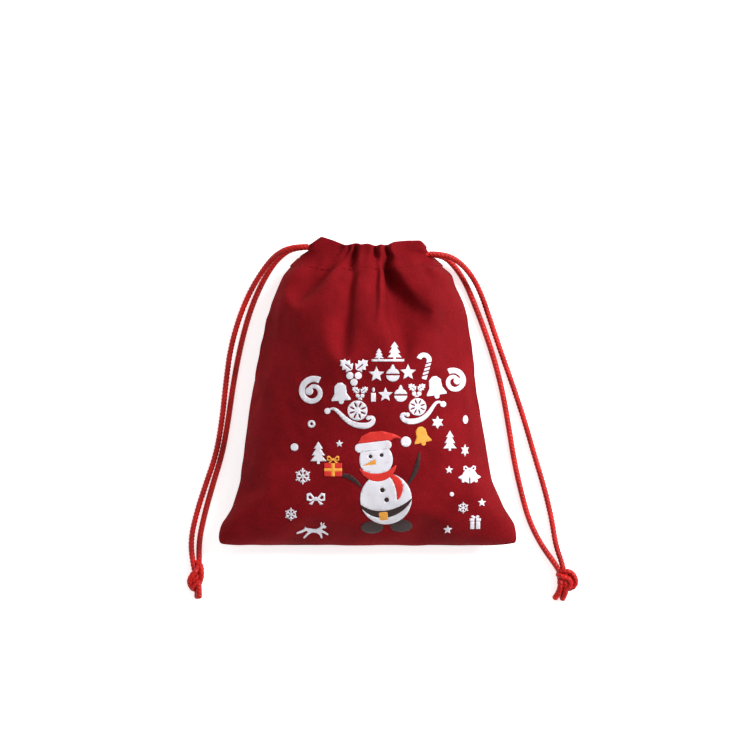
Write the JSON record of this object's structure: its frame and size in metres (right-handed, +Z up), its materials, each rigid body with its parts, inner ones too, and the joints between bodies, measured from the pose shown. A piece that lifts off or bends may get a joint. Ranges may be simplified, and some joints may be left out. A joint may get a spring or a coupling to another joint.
{
  "type": "drawstring gift sack",
  "caption": "Soft red velour sack with a printed front, a gathered mouth and two drawcords that pull out to opposite sides and end in knots.",
  "frame": {"origin": "on the table under the middle of the sack, which lies on its back panel", "axes": "+X towards the sack's right side, +Y from the bottom seam to the mouth, +Z up out of the printed front"},
  "size_m": [0.2, 0.1867, 0.0625],
  "materials": {
    "velour": "short-pile velour",
    "thread": "polyester sewing thread",
    "cord": "braided satin cord",
    "print_white": "matt transfer print",
    "print_red": "matt transfer print",
    "print_gold": "matt transfer print",
    "print_dark": "matt transfer print"
  },
  "bodies": {
    "pouch": {"back_casing": "velour", "back_casing_stitches": "thread", "back_panel": "velour", "bottom_seam_allowance": "velour", "bottom_seam_thread": "thread", "front_casing": "velour", "front_casing_stitches": "thread", "front_panel": "velour", "left_seam_allowance": "velour", "left_seam_thread": "thread", "print_bells": "print_white", "print_bow": "print_white", "print_deer": "print_white", "print_dots": "print_white", "print_garland": "print_white", "print_gift": "print_white", "print_medallions": "print_white", "print_ring": "print_white", "print_snowflakes": "print_white", "print_snowman_dark": "print_dark", "print_snowman_gold": "print_gold", "print_snowman_red": "print_red", "print_snowman_white": "print_white", "print_stars": "print_white", "print_trees": "print_white", "print_twin_trees": "print_white", "right_seam_allowance": "velour", "right_seam_thread": "thread"},
    "left_drawcord": {"left_cord_back_strand": "cord", "left_cord_ends": "cord", "left_cord_front_strand": "cord", "left_cord_loop": "cord", "left_knot": "cord"},
    "right_drawcord": {"right_cord_back_strand": "cord", "right_cord_ends": "cord", "right_cord_front_strand": "cord", "right_cord_loop": "cord", "right_knot": "cord"}
  },
  "joints": [
    {"name": "left_drawcord_pull", "type": "slide", "parent": "pouch", "child": "left_drawcord", "axis": [-1, 0, 0], "range_m": [0, 0.02], "deforming": ["front_casing", "back_casing"]},
    {"name": "right_drawcord_pull", "type": "slide", "parent": "pouch", "child": "right_drawcord", "axis": [1, 0, 0], "range_m": [0, 0.02], "deforming": ["front_casing", "back_casing"]}
  ]
}
